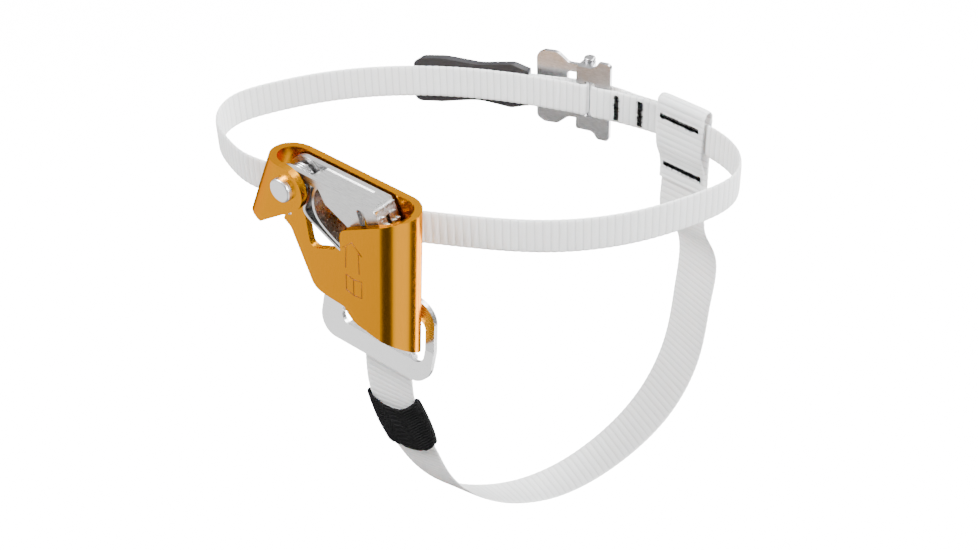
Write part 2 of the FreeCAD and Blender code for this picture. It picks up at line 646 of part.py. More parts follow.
# ---- foot webbing -------------------------------------------------------------------------
# Centre line from the bracket's bar, down through the sleeve, under the foot, and up to the
# ankle loop, with the direction that the webbing's width takes at each point.
FOOT_LINE = [(V(BAR_X, BAR_Y + BAR_R + 0.8, BAR_Z), V(1, 0, 0)),
             (V(-18.6, 17.2, -90.0), V(1, 0.02, 0.04)),
             (V(-18.0, 20.2, -112.0), V(1, 0.06, 0.14)),
             (V(-15.8, 23.8, -127.0), V(1, 0.08, 0.22)),
             (V(-13.2, 28.6, -142.0), V(1, 0.04, 0.32)),
             (V(-10.8, 34.6, -157.0), V(1, -0.08, 0.40)),
             (V(-5.4, 45.2, -174.6), V(1, -0.22, 0.50)),
             (V(6.8, 64.0, -188.4), V(1, -0.38, 0.42)),
             (V(20.6, 86.6, -191.0), V(1, -0.46, 0.34)),
             (V(34.0, 112.0, -180.8), V(1, -0.42, 0.30)),
             (V(44.2, 134.4, -159.6), V(1, -0.38, 0.25)),
             (V(48.6, 146.6, -129.0), V(1, -0.36, 0.20)),
             (V(48.2, 149.6, -98.0), V(1, -0.36, 0.15)),
             (V(46.4, 147.9, -70.0), V(1, -0.30, 0.10))]


def web_section(at, along, across, width, thickness):
    """Rectangle square to the run of the webbing."""
    wide = across - along * across.dot(along)
    wide.normalize()
    thick = along.cross(wide)
    corners = [at + wide * (a * width / 2) + thick * (b * thickness / 2)
               for a, b in ((-1, -1), (1, -1), (1, 1), (-1, 1), (-1, -1))]
    return Part.makePolygon(corners)


def web_run(line, width, thickness):
    """Loft of the webbing through its sections."""
    path = Part.BSplineCurve()
    path.interpolate([p for p, w in line])
    knots = path.getKnots()
    sections = []
    for (p, w), knot in zip(line, knots):
        sections.append(web_section(p, path.tangent(knot)[0], w, width, thickness))
    return Part.makeLoft(sections, True, False)


def bar_loop():
    """Turn of the foot webbing round the bracket's bar."""
    inside = BAR_R + 0.1
    return tube(inside + WEB_T, inside, V(BAR_X - FOOT_W / 2, BAR_Y, BAR_Z),
                V(BAR_X + FOOT_W / 2, BAR_Y, BAR_Z))


HANGER_U = loop_share(HANGER_S)


def hang(shape):
    """Carry a shape drawn round the ankle webbing's own middle to the hanger's place."""
    t = loop_curve.tangent(HANGER_U)[0]
    shape.rotate(V(0, 0, 0), V(0, 0, 1), math.degrees(math.atan2(t.y, t.x)))
    shape.translate(loop_point(HANGER_U, 0))
    return tilt(shape)


def hang_point(x, y, z):
    return hang(Part.Vertex(V(x, y, z))).Point


def hanger():
    """Upper end of the foot webbing: up outside the ankle webbing, over it and down inside."""
    inside = HALF_T + HANGER_GAP
    outside = inside + WEB_T
    half = FOOT_W / 2
    outer = box(-half, half, inside, outside, HANGER_LOW, HANGER_TOP)
    inner = box(-half, half, -outside, -inside, -10.0, HANGER_TOP)
    over = tube(outside, inside, V(-half, 0, HANGER_TOP), V(half, 0, HANGER_TOP))
    over = over.common(box(-30, 30, -10, 10, HANGER_TOP, HANGER_TOP + 10))
    profile = [(-outside, -10), (-inside, -10), (inside, -17), (inside, HANGER_CUT),
               (inside - WEB_T, HANGER_CUT), (inside - WEB_T, -18.5), (-outside, -10)]
    flap = Part.Face(Part.makePolygon([V(-half, y, z) for y, z in profile]))
    flap = flap.extrude(V(FOOT_W, 0, 0))
    return hang(outer.fuse([inner, over, flap]).removeSplitter())


def foot_webbing():
    middle = HALF_T + HANGER_GAP + HALF_T
    width = hang_point(1, 0, 0) - hang_point(0, 0, 0)
    top = [(hang_point(0, middle, HANGER_LOW - 10), width),
           (hang_point(0, middle, HANGER_LOW + 0.3), width)]
    return web_run(FOOT_LINE + top, FOOT_W, WEB_T).fuse([bar_loop(), hanger()])


nodes["foot_webbing"] = foot_webbing()


def foot_sleeve():
    """Knitted tube that is drawn over the webbing below the bracket."""
    near = FOOT_LINE[2:5]
    outer = web_run(near, SLEEVE_W, SLEEVE_DEPTH)
    inner = web_run(near, FOOT_W + 0.5, WEB_T + 0.5)
    return outer.cut(inner)


nodes["foot_sleeve"] = foot_sleeve()


def hanger_tack(z, face):
    """Dense zigzag stitch across the hanger."""
    block = box(-FOOT_W / 2 + 1.5, FOOT_W / 2 - 1.5, face - TACK_T, face,
                z - 1.0, z + 1.0)
    return hang(block)


nodes["foot_tack_upper"] = hanger_tack(4.0, -HALF_T - HANGER_GAP - WEB_T)
nodes["foot_tack_lower"] = hanger_tack(-20.5, HALF_T + HANGER_GAP - WEB_T)


def end_tack():
    """Stitch that closes the turn of the foot webbing below the bar."""
    at = FOOT_LINE[1][0]
    return box(at.x - 10.5, at.x + 10.5, at.y + HALF_T, at.y + HALF_T + TACK_T,
               at.z + 3.0, at.z + 5.0)


nodes["foot_end_tack"] = end_tack()

for name, shape in nodes.items():
    shape.exportStep("parts/%s.step" % name)
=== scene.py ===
import json
import math
import random

import bpy
import numpy as np
from mathutils import Matrix, Vector


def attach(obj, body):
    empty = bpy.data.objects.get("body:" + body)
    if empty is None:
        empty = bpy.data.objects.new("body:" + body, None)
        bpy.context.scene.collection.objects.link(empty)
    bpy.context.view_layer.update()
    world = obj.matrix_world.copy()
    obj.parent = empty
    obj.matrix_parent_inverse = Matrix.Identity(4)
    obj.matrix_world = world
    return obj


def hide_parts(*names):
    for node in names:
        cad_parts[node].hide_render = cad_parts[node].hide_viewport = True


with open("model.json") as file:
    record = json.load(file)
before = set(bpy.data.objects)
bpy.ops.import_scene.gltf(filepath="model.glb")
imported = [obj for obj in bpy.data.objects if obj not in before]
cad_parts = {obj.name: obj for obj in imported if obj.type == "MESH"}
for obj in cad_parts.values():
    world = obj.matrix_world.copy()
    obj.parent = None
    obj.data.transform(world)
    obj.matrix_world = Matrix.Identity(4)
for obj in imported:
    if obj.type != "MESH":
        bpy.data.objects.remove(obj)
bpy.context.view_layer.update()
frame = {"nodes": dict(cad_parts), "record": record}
random.seed(7)
MM = 0.001
RIB = 3.0               # spacing of the ribs across the webbing, mm
BODY = "ascender"       # the body that everything fixed rides on


# ---- materials ----------------------------------------------------------------------------
class Shader:
    """Small builder round one material's node tree."""

    def __init__(self, name, **sockets):
        self.material = bpy.data.materials.new(name)
        self.material.use_nodes = True
        self.tree = self.material.node_tree
        self.surface = self.tree.nodes["Principled BSDF"]
        for key, value in sockets.items():
            self.surface.inputs[key.replace("_", " ")].default_value = value

    def node(self, kind, operation=None, **inputs):
        made = self.tree.nodes.new(kind)
        if operation:
            made.operation = operation
        for key, value in inputs.items():
            socket = made.inputs[int(key[1:])] if key[1:].isdigit() else made.inputs[key]
            if isinstance(value, bpy.types.NodeSocket):
                self.tree.links.new(value, socket)
            else:
                socket.default_value = value
        return made

    def math(self, operation, a, b=0.0):
        return self.node("ShaderNodeMath", operation, _0=a, _1=b).outputs[0]

    def spot(self, stretch=(1, 1, 1)):
        """Object coordinates in millimetres, stretched."""
        where = self.node("ShaderNodeTexCoord").outputs["Object"]
        scale = tuple(1000.0 * s for s in stretch)
        return self.node("ShaderNodeVectorMath", "MULTIPLY", _0=where, _1=scale).outputs[0]

    def flat(self):
        """Distances along and across a strap, in millimetres."""
        uv = self.node("ShaderNodeTexCoord").outputs["UV"]
        parts = self.node("ShaderNodeSeparateXYZ", _0=uv)
        return (self.math("MULTIPLY", parts.outputs[0], 1000.0),
                self.math("MULTIPLY", parts.outputs[1], 1000.0))

    def noise(self, vector, scale, detail=3.0):
        made = self.node("ShaderNodeTexNoise", Vector=vector, Scale=scale, Detail=detail)
        return made.outputs["Fac"]

    def ramp(self, value, low, high):
        made = self.node("ShaderNodeMapRange", Value=value)
        made.inputs["To Min"].default_value = low
        made.inputs["To Max"].default_value = high
        return made.outputs[0]

    def mix(self, value, low, high):
        made = self.node("ShaderNodeMix")
        made.data_type = "RGBA"
        self.tree.links.new(value, made.inputs[0])
        made.inputs[6].default_value = (*low, 1)
        made.inputs[7].default_value = (*high, 1)
        return made.outputs[2]

    def drive(self, socket, value):
        self.tree.links.new(value, self.surface.inputs[socket])
        return self

    def bump(self, height, strength, distance):
        made = self.node("ShaderNodeBump", Height=height, Strength=strength)
        made.inputs["Distance"].default_value = distance
        self.tree.links.new(made.outputs[0], self.surface.inputs["Normal"])
        return self


def anodised():
    s = Shader("gold_anodised", Metallic=1.0, Specular_Tint=(1.0, 0.55, 0.10, 1))
    grain = s.noise(s.spot((1, 1, 0.15)), 1.1, 4.0)
    s.drive("Base Color", s.mix(grain, (0.60, 0.235, 0.0), (0.66, 0.265, 0.0)))
    s.drive("Roughness", s.ramp(grain, 0.20, 0.28))
    return s.bump(s.noise(s.spot(), 6.0), 0.10, 0.00005).material


def brushed(name, low, high, rough, stretch, strength=0.15):
    s = Shader(name, Metallic=1.0)
    lines = s.noise(s.spot(stretch), 2.2, 5.0)
    s.drive("Base Color", s.mix(lines, low, high))
    s.drive("Roughness", s.ramp(lines, rough[0], rough[1]))
    return s.bump(lines, strength, 0.00005).material


def webbing_look(name):
    """Woven tape: painted shade darkens the grooves between ribs, fine picks across and warp yarns
    along.
    """
    yarn_width, pick_width = 0.62, 0.5
    s = Shader(name, Roughness=0.78, Sheen_Weight=0.25, Subsurface_Weight=0.05)
    along, across = s.flat()
    row = s.math("FLOOR", s.math("MULTIPLY", along, 1 / pick_width))
    shift = s.math("MULTIPLY", s.math("PINGPONG", row, 1.0), math.pi)
    yarn = s.math("SINE", s.math("ADD", s.math("MULTIPLY", across, 2 * math.pi / yarn_width), shift))
    pick = s.math("SINE", s.math("MULTIPLY", along, 2 * math.pi / pick_width))
    weave = s.math("ADD", yarn, s.math("MULTIPLY", pick, 0.6))
    # painted shade: the base colour is darkened in the grooves between the ribs, standing in for the
    # shade the ribs cast there
    painted_groove_shade = s.math("MINIMUM", s.math("MULTIPLY", s.math("PINGPONG", along, RIB / 2), 2.2), 1.0)
    tone = s.math("ADD", s.math("MULTIPLY", weave, 0.18), 0.75)
    tone = s.math("MULTIPLY", tone, s.math("ADD", s.math("MULTIPLY", painted_groove_shade, 0.65), 0.35))
    s.drive("Base Color", s.mix(tone, (0.55, 0.55, 0.55), (1.0, 1.0, 0.995)))
    return s.bump(weave, 0.55, 0.00012).material


def knit_look():
    """Fine knit: two crossing sets of slanting stitches."""
    s = Shader("black_knit", Roughness=0.85, Specular_IOR_Level=0.15)
    along, across = s.flat()
    slant = s.math("MULTIPLY", s.math("PINGPONG", across, 15.0), 0.8)
    row = s.math("SINE", s.math("MULTIPLY", s.math("ADD", along, slant), 2 * math.pi / 1.1))
    cross = s.math("SINE", s.math("MULTIPLY", s.math("SUBTRACT", along, slant), 2 * math.pi / 1.6))
    height = s.math("ADD", row, s.math("MULTIPLY", cross, 0.55))
    tone = s.math("ADD", s.math("MULTIPLY", height, 0.30), 0.45)
    s.drive("Base Color", s.mix(tone, (0.001, 0.001, 0.001), (0.015, 0.015, 0.016)))
    return s.bump(height, 0.8, 0.0003).material


def moulded():
    s = Shader("black_plastic", Roughness=0.5)
    grain = s.noise(s.spot(), 3.0, 2.0)
    s.drive("Base Color", s.mix(grain, (0.008, 0.008, 0.009), (0.014, 0.014, 0.016)))
    return s.bump(grain, 0.25, 0.0001).material


GOLD = anodised()
CAM = brushed("plated_cam", (0.50, 0.50, 0.50), (0.90, 0.90, 0.89), (0.22, 0.36), (0.15, 1, 1), 0.3)
RIVET = brushed("rivet_steel", (0.88, 0.88, 0.88), (0.95, 0.95, 0.95), (0.28, 0.40), (1, 1, 1))
DARK = brushed("dark_steel", (0.20, 0.20, 0.20), (0.30, 0.30, 0.30), (0.3, 0.5), (1, 1, 1))
SPRING = brushed("spring_steel", (0.40, 0.40, 0.41), (0.55, 0.55, 0.56), (0.2, 0.35), (1, 1, 1))
BRACKET = brushed("bracket_steel", (0.80, 0.80, 0.80), (0.92, 0.92, 0.92), (0.2, 0.33),
                  (0.12, 1, 1), 0.3)
BUCKLE = brushed("buckle_steel", (0.30, 0.30, 0.31), (0.58, 0.58, 0.59), (0.24, 0.40),
                 (0.12, 1, 1))
WHITE = webbing_look("white_webbing")
KNIT = knit_look()
PLASTIC = moulded()
THREAD = Shader("black_thread", Roughness=0.9, Specular_IOR_Level=0.1,
                Base_Color=(0.002, 0.002, 0.002, 1)).material
MARK = Shader("etched_mark", Roughness=0.6, Metallic=0.3,
              Base_Color=(0.22, 0.055, 0.004, 1)).material

LOOKS = {"frame": GOLD, "cam": CAM, "cam_axle": RIVET, "axle_bush": DARK,
         "cam_spring": SPRING, "strap_bracket": BRACKET, "strap_bar": BRACKET,
         "bracket_rivets": RIVET, "buckle_frame": BUCKLE, "buckle_lever": BUCKLE,
         "buckle_pin": BUCKLE, "tail_tab": PLASTIC}


# ---- meshes -------------------------------------------------------------------------------
def mesh_object(name, verts, faces, material, uvs=None):
    data = bpy.data.meshes.new(name)
    data.from_pydata([tuple(v) for v in verts], [], faces)
    data.materials.append(material)
    if uvs is not None:
        layer = data.uv_layers.new(name="UVMap")
        index = np.empty(len(data.loops), dtype=np.int64)
        data.loops.foreach_get("vertex_index", index)
        layer.data.foreach_set("uv", np.asarray(uvs)[index].astype(np.float32).ravel())
    data.shade_smooth()
    made = bpy.data.objects.new(name, data)
    bpy.context.collection.objects.link(made)
    return made


def softened(node, width, look):
    """Copy of a hard CAD node with its sharp edges rounded."""
    source = frame["nodes"][node]
    made = bpy.data.objects.new(node + "_eased", source.data.copy())
    bpy.context.collection.objects.link(made)
    made.data.materials.clear()
    made.data.materials.append(look)
    bevel = made.modifiers.new("ease", "BEVEL")
    bevel.width = width * MM
    bevel.segments = 3
    bevel.limit_method = "ANGLE"
    bevel.angle_limit = math.radians(38)
    bevel.harden_normals = True
    bevel.use_clamp_overlap = True
    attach(made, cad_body(node))
    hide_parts(node)
    return made


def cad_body(node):
    for body, members in frame["record"]["behaviour"]["bodies"].items():
        if node in members:
            return body
    return None


def natural(points):
    """Natural cubic through points, as a function of distance along their chords."""
    p = np.asarray(points, dtype=float)
    t = np.concatenate([[0], np.cumsum(np.linalg.norm(np.diff(p, axis=0), axis=1))])
    h = np.diff(t)
    n = len(p)
    a = np.eye(n)
    b = np.zeros_like(p)
    for i in range(1, n - 1):
        a[i, i - 1:i + 2] = (h[i - 1], 2 * (h[i - 1] + h[i]), h[i])
        b[i] = 6 * ((p[i + 1] - p[i]) / h[i] - (p[i] - p[i - 1]) / h[i - 1])
    m = np.linalg.solve(a, b)

    def at(x):
        x = np.atleast_1d(x)
        i = np.clip(np.searchsorted(t, x) - 1, 0, n - 2)
        u = (x - t[i])[:, None]
        w = (t[i + 1] - x)[:, None]
        hi = h[i][:, None]
        return (m[i] * w ** 3 + m[i + 1] * u ** 3) / (6 * hi) + (
            p[i] / hi - m[i] * hi / 6) * w + (p[i + 1] / hi - m[i + 1] * hi / 6) * u

    return at, t


def even(points, step):
    """The same line with points at even steps."""
    at, t = natural(points)
    fine = at(np.linspace(0, t[-1], 6000))
    s = np.concatenate([[0], np.cumsum(np.linalg.norm(np.diff(fine, axis=0), axis=1))])
    want = np.linspace(0, s[-1], int(s[-1] / step) + 1)
    return np.stack([np.interp(want, s, fine[:, k]) for k in range(points.shape[1])], 1), want


def framed(centre, across):
    """Unit run, width and thickness directions at each point."""
    run = np.gradient(centre, axis=0)
    run /= np.linalg.norm(run, axis=1)[:, None]
    wide = across - run * np.sum(across * run, axis=1)[:, None]
    wide /= np.linalg.norm(wide, axis=1)[:, None]
    return run, wide, np.cross(run, wide)


def tape(name, centre, across, width, thick, rib, along, look, relief=0.26, columns=34):
    """Closed woven tape along a line, with ribs across both faces."""
    wide, up = framed(centre, across)[1:]
    v = np.linspace(-1, 1, columns)
    edge = np.sqrt(np.clip(1 - np.abs(v) ** 7, 0, 1))
    ring_side = np.concatenate([v, v[::-1][1:-1]])
    ring_edge = np.concatenate([edge, -edge[::-1][1:-1]])
    phase = np.abs(np.sin(np.pi * along / rib))
    ribs = relief * (phase ** 0.7 - 0.8)
    scallop = 0.16 * (phase - 0.5)
    k = len(ring_side)
    verts = []
    half = width / 2 - 0.15
    for side, lift in zip(ring_side, ring_edge):
        out = half + scallop * abs(side) ** 6
        depth = lift * (thick / 2 + ribs * (1 - abs(side) ** 8))
        verts.append(centre + wide * (side * out)[:, None] + up * depth[:, None])
    grid = np.stack(verts, 1) * MM
    n = len(centre)
    faces = []
    for i in range(n - 1):
        row = i * k
        for j in range(k):
            q = (j + 1) % k
            faces.append((row + j, row + q, row + k + q, row + k + j))
    faces.append(tuple(range(k - 1, -1, -1)))
    faces.append(tuple((n - 1) * k + j for j in range(k)))
    uv = np.stack([np.repeat(along, k), np.tile(ring_side * width / 2, n)], 1) * MM
    return mesh_object(name, grid.reshape(-1, 3), faces, look, uv)


# ---- the ankle loop's own plane -----------------------------------------------------------
LOOP_TILT = math.radians(4.5)
LOOP_DROP = -12.0       # the loop's plane below the cam axle
ANKLE_W = 15.0          # webbing widths and thickness, mm
FOOT_W = 25.0
WEB_T = 1.4
TAPE_T = WEB_T - 0.1    # thickness between the ribs
LOOP_MID_Y = 60.0       # between the loop's near half and its far half
LOOP_LINE = np.array([
    (-1.6, 134.9), (26.6, 137.8), (49.5, 134.6), (68.9, 125.4), (77.2, 110.5), (73.5, 90.5),
    (61.8, 66.8), (41.6, 44.0), (12.0, 26.3), (-6.0, 18.0), (-24.5, 11.3), (-48.0, 11.9),
    (-70.0, 11.2), (-88.0, 10.2), (-104.0, 15.2), (-117.8, 23.5), (-125.7, 40.0),
    (-120.7, 57.0), (-106.5, 79.7), (-84.7, 101.0), (-58.3, 117.0), (-33.2, 126.8),
    (-10.0, 132.9)])
BUCKLE_TURN = math.radians(11)
BUCKLE_FOOT = np.array([-10.0, 132.9])
loop_at, loop_t = natural(LOOP_LINE)
loop_fine = np.linspace(0, loop_t[-1], 4001)
loop_xy = loop_at(loop_fine)


def to_part(x, y, h):
    """From the loop's plane, with height h above it, to the part's frame (mm)."""
    c, s = math.cos(LOOP_TILT), math.sin(LOOP_TILT)
    h = h + LOOP_DROP
    return np.stack(np.broadcast_arrays(x * c - h * s, y, x * s + h * c), -1)


UPWARD = np.array([-math.sin(LOOP_TILT), 0, math.cos(LOOP_TILT)])


def loop_share(s):
    """Share of the loop's line at distance s on its far half."""
    far = np.where(loop_xy[:, 1] > LOOP_MID_Y, np.abs(loop_xy[:, 0] - s), 1e9)
    return loop_fine[int(np.argmin(far))]


def loop_side(share, out):
    """Point beside the loop, out mm outwards, and its run direction."""
    p = loop_at(share)[0]
    t = loop_at(min(share + 0.05, loop_t[-1]))[0] - loop_at(max(share - 0.05, 0))[0]
    t /= np.linalg.norm(t)
    return p + np.array([-t[1], t[0]]) * out, t


def beside(stations):
    """Points beside the loop, from (distance, how far outwards) pairs."""
    return [loop_side(loop_share(s), out)[0] for s, out in stations]


def buckle_plane(x, y):
    """Point given beside the foot of the buckle's pin, in the loop's plane."""
    c, s = math.cos(BUCKLE_TURN), math.sin(BUCKLE_TURN)
    return BUCKLE_FOOT + np.array([x * c - y * s, x * s + y * c])


def ankle_path():
    """Middle of the webbing: sewn end, end bar, the loop, middle bar, free tail."""
    points = beside([(26.6, 0), (20.0, 0), (14.0, 0), (9.0, 0), (4.0, 0)])
    points += [buckle_plane(x, y) for x, y in (
        (8.8, -0.1), (5.6, 0.0), (4.1, 0.7), (3.7, 1.9), (4.2, 3.15), (5.6, 3.75), (12.2, 3.9))]
    steps = 70
    points += beside([(6.5, 3.2), (10.0, 2.5), (14.0, 1.9), (18.0, 1.6), (26.0, 1.55),
                      (30.5, 1.1), (35.0, 0.3), (39.0, 0)])
    first = loop_share(44.0)
    points += [loop_side(first + (loop_t[-1] - first) * i / steps, 0)[0]
               for i in range(steps - 1)]
    points += [buckle_plane(x, y) for x, y in (
        (-1.8, 0), (-0.4, 0.0), (0.9, 0.7), (1.3, 1.9), (0.9, 3.15), (-0.4, 3.75), (-3.0, 3.8))]
    points += beside([(-18.0, 3.3), (-24.0, 2.4), (-29.0, 1.9), (-35.0, 1.6)])
    return np.array(points)


def ankle_webbing():
    flat, along = even(ankle_path(), 0.33)
    centre = to_part(flat[:, 0], flat[:, 1], 0.0)
    across = np.tile(UPWARD, (len(centre), 1))
    made = tape("ankle_tape", centre, across, ANKLE_W, TAPE_T, RIB, along, WHITE,
                columns=26)
    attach(made, BODY)
    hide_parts("ankle_webbing")
    return made


# ---- foot webbing -------------------------------------------------------------------------
BAR = np.array([-18.2, 12.6, -74.6])
BAR_R = 2.0
FOOT_LINE = [((-18.2, 15.4, -74.6), (1, 0, 0)),
             ((-18.6, 17.2, -90.0), (1, 0.02, 0.04)),
             ((-18.0, 20.2, -112.0), (1, 0.06, 0.14)),
             ((-15.8, 23.8, -127.0), (1, 0.08, 0.22)),
             ((-13.2, 28.6, -142.0), (1, 0.04, 0.32)),
             ((-10.8, 34.6, -157.0), (1, -0.08, 0.40)),
             ((-5.4, 45.2, -174.6), (1, -0.22, 0.50)),
             ((6.8, 64.0, -188.4), (1, -0.38, 0.42)),
             ((20.6, 86.6, -191.0), (1, -0.46, 0.34)),
             ((34.0, 112.0, -180.8), (1, -0.42, 0.30)),
             ((44.2, 134.4, -159.6), (1, -0.38, 0.25)),
             ((48.6, 146.6, -129.0), (1, -0.36, 0.20)),
             ((48.2, 149.6, -98.0), (1, -0.36, 0.15)),
             ((46.4, 147.9, -70.0), (1, -0.30, 0.10))]
HANGER_S = 37.8         # middle of the hanger along the ankle loop
HANGER_TOP = 9.6        # over the ankle webbing's mid height
HANGER_GAP = 1.1        # free space between the hanger and the ankle webbing
HANGER_CUT = -28.0      # cut end of the layer that hangs inside
SLEEVE_TOP = -111.0     # heights where the sleeve starts and ends on the webbing
SLEEVE_LOW = -142.5
hang_foot, hang_run = loop_side(loop_share(HANGER_S), 0)


def hang_point(x, y, z):
    """Point given beside the ankle webbing's middle at the hanger: along it, outwards, up."""
    at = hang_foot + hang_run * x + np.array([-hang_run[1], hang_run[0]]) * y
    return to_part(at[0], at[1], z)


def foot_path():
    """Middle of the foot webbing and its width direction, from the bar to the cut end."""
    wrap = BAR_R + 0.15 + WEB_T / 2
    line = []
    for turn in range(-210, 1, 15):
        a = math.radians(turn)
        line.append((BAR + np.array([0, math.cos(a), math.sin(a)]) * wrap, (1, 0, 0)))
    line += [(np.array(p), w) for p, w in FOOT_LINE[1:]]
    width = hang_point(1, 0, 0) - hang_point(0, 0, 0)
    reach = HANGER_GAP + WEB_T
    for z in (-44.0, -34.0, -22.0, -8.0, 4.0, HANGER_TOP):
        line.append((hang_point(0, reach, z), width))
    for turn in range(30, 180, 30):
        a = math.radians(turn)
        line.append((hang_point(0, reach * math.cos(a), HANGER_TOP + reach * math.sin(a)), width))
    for y, z in ((-reach, HANGER_TOP), (-reach, 0), (-reach, -8), (-reach * 0.75, -12),
                 (0.1, -17), (1.05, -21), (1.1, HANGER_CUT)):
        line.append((hang_point(0, y, z), width))
    return line


foot_line = foot_path()
foot_both = np.array([np.concatenate([p, np.array(w) * 10.0]) for p, w in foot_line])


def foot_centre(step):
    """Evenly spaced middle points and width directions of the foot webbing."""
    at, t = natural(foot_both[:, :3])
    share = np.linspace(0, t[-1], 8000)
    fine = at(share)
    wide = np.stack([np.interp(share, t, foot_both[:, 3 + k]) for k in range(3)], 1)
    s = np.concatenate([[0], np.cumsum(np.linalg.norm(np.diff(fine, axis=0), axis=1))])
    want = np.linspace(0, s[-1], int(s[-1] / step) + 1)
    centre = np.stack([np.interp(want, s, fine[:, k]) for k in range(3)], 1)
    across = np.stack([np.interp(want, s, wide[:, k]) for k in range(3)], 1)
    return centre, across, want


def foot_webbing():
    centre, across, along = foot_centre(0.36)
    made = tape("foot_tape", centre, across, FOOT_W, TAPE_T, RIB, along, WHITE, columns=40)
    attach(made, BODY)
    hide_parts("foot_webbing")
    return made


def foot_sleeve():
    """Knitted tube with a dipping mouth and a looped hem."""
    centre, across, along = foot_centre(0.4)
    near = centre[:600, 2]
    top = along[int(np.argmin(np.abs(near - SLEEVE_TOP)))]
    low = along[int(np.argmin(np.abs(near - SLEEVE_LOW)))]
    wide, up = framed(centre, across)[1:]
    count, rows = 200, 110
    wall = 0.7
    girth = 60.0
    stitch_pitch = 1.7
    verts, uvs = [], []
    for layer in (0, 1):
        for i in range(rows + 1):
            for j in range(count):
                a = 2 * math.pi * j / count
                side, lift = math.cos(a), math.sin(a)
                span = math.copysign(abs(side) ** 0.35, side)
                rise = math.copysign(abs(lift) ** 0.6, lift)
                dip = 3.6 * (1 - span * span) if lift > 0 else 2.2 * (1 - span * span)
                shear = 6.8 * max(span, 0) ** 2
                start = top + dip - shear
                end = low - 0.35 + 0.35 * math.cos(a * 24) - 1.2 * span * span - shear
                s = start + (end - start) * i / rows
                gape = math.exp(-((s - start) / 5.0) ** 2) * 0.9
                ease = wall * layer
                bulge = 2.4 * max(span, 0) * math.sin(math.pi * i / rows) ** 0.6
                half_w = FOOT_W / 2 + 1.4 + bulge - ease
                half_t = 2.1 + gape * (1 - span * span) - ease
                stitch = math.sin((s + 0.9 * abs(span * half_w - 3.0)) * 2 * math.pi / stitch_pitch)
                half_t += 0.24 * stitch * (1 - layer)
                k = min(max(np.searchsorted(along, s), 1), len(along) - 1)
                at = centre[k - 1] + (centre[k] - centre[k - 1]) * (
                    (s - along[k - 1]) / (along[k] - along[k - 1]))
                verts.append((at + wide[k] * (span * half_w) + up[k] * (rise * half_t)) * MM)
                uvs.append((s * MM, a / (2 * math.pi) * girth * MM))
    faces = []
    block = (rows + 1) * count
    for i in range(rows):
        for j in range(count):
            q = (j + 1) % count
            a, b = i * count + j, i * count + q
            faces.append((a, b, b + count, a + count))
            faces.append((block + b, block + a, block + a + count, block + b + count))
    for j in range(count):
        q = (j + 1) % count
        faces.append((q, j, block + j, block + q))
        last = rows * count
        faces.append((last + j, last + q, block + last + q, block + last + j))
    made = mesh_object("knit_sleeve", verts, faces, KNIT, uvs)
    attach(made, BODY)
    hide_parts("foot_sleeve")
    return made


# ---- bar tacks ----------------------------------------------------------------------------
def bar_tack(name, node, place, length, width):
    """Zigzag of thread; place(a, b, h) maps along, across and height to the part."""
    pitch = 0.34
    data = bpy.data.curves.new(name, "CURVE")
    data.dimensions = "3D"
    data.bevel_depth = 0.17 * MM
    data.bevel_resolution = 2
    data.use_fill_caps = True
    data.materials.append(THREAD)
    passes = int(length / pitch)
    points = []
    for i in range(passes + 1):
        a = -length / 2 + length * i / passes
        reach = width / 2 * random.uniform(0.55, 1.35)
        b = reach if i % 2 else -reach
        points.append(place(a, b, 0.18))
        points.append(place(a + length / passes / 2, b * 0.2, 0.36))
    for offset in (-0.3, 0.0, 0.3):
        straight = [place(-length / 2 + length * i / 12, width * offset, 0.16)
                    for i in range(13)]
        add_poly(data, straight)
    add_poly(data, points)
    made = bpy.data.objects.new(name, data)
    bpy.context.collection.objects.link(made)
    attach(made, BODY)
    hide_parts(node)
    return made


def add_poly(data, points):
    """Straight runs through points given in millimetres."""
    line = data.splines.new("POLY")
    line.points.add(len(points) - 1)
    for target, p in zip(line.points, points):
        target.co = (*(Vector(p) * MM), 1)


def ankle_tack(name, node, s):
    share = loop_share(s)
    foot, run = loop_side(share, 0)
    inward = np.array([run[1], -run[0]])

    def place(a, b, h):
        at = foot + run * b + inward * (WEB_T / 2 + h)
        return to_part(at[0], at[1], a)

    bar_tack(name, node, place, 11.6, 2.5)


def hanger_tack(name, node, z, face):
    def place(a, b, h):
        return hang_point(a, face - h, z + b)

    bar_tack(name, node, place, 20.0, 2.7)


def end_tack():
    def place(a, b, h):
        return BAR + np.array([a, 5.3 + h * 0.5, -12.0 + b])

    bar_tack("end_stitch", "foot_end_tack", place, 20.0, 1.6)


# ---- marks on the flange ------------------------------------------------------------------
FLANGE_Y = -9.43        # the lines are partly sunk in the flange's face, whose Y is -9.5


def etched(name, strokes):
    """Thin raised lines on the front flange."""
    data = bpy.data.curves.new(name, "CURVE")
    data.dimensions = "3D"
    data.bevel_depth = 0.24 * MM
    data.bevel_resolution = 1
    data.materials.append(MARK)
    for stroke in strokes:
        add_poly(data, [(x, FLANGE_Y, z) for x, z in stroke])
    made = bpy.data.objects.new(name, data)
    bpy.context.collection.objects.link(made)
    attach(made, BODY)
    return made


ARROW = [[(-16.6, -21.5), (-16.2, -11.9), (-17.9, -12.6), (-13.2, -8.4), (-8.6, -12.6),
          (-10.2, -11.9), (-9.9, -21.5)]]
BOOKLET = [[(-16.5, -32.0), (-16.5, -24.6), (-12.8, -25.4), (-12.8, -33.0), (-16.5, -32.0)],
           [(-12.8, -25.4), (-8.8, -24.6), (-8.8, -32.4), (-12.8, -33.0)]]


# ---- build --------------------------------------------------------------------------------
for node, look in LOOKS.items():
    piece = frame["nodes"][node]
    piece.data.materials.clear()
    piece.data.materials.append(look)

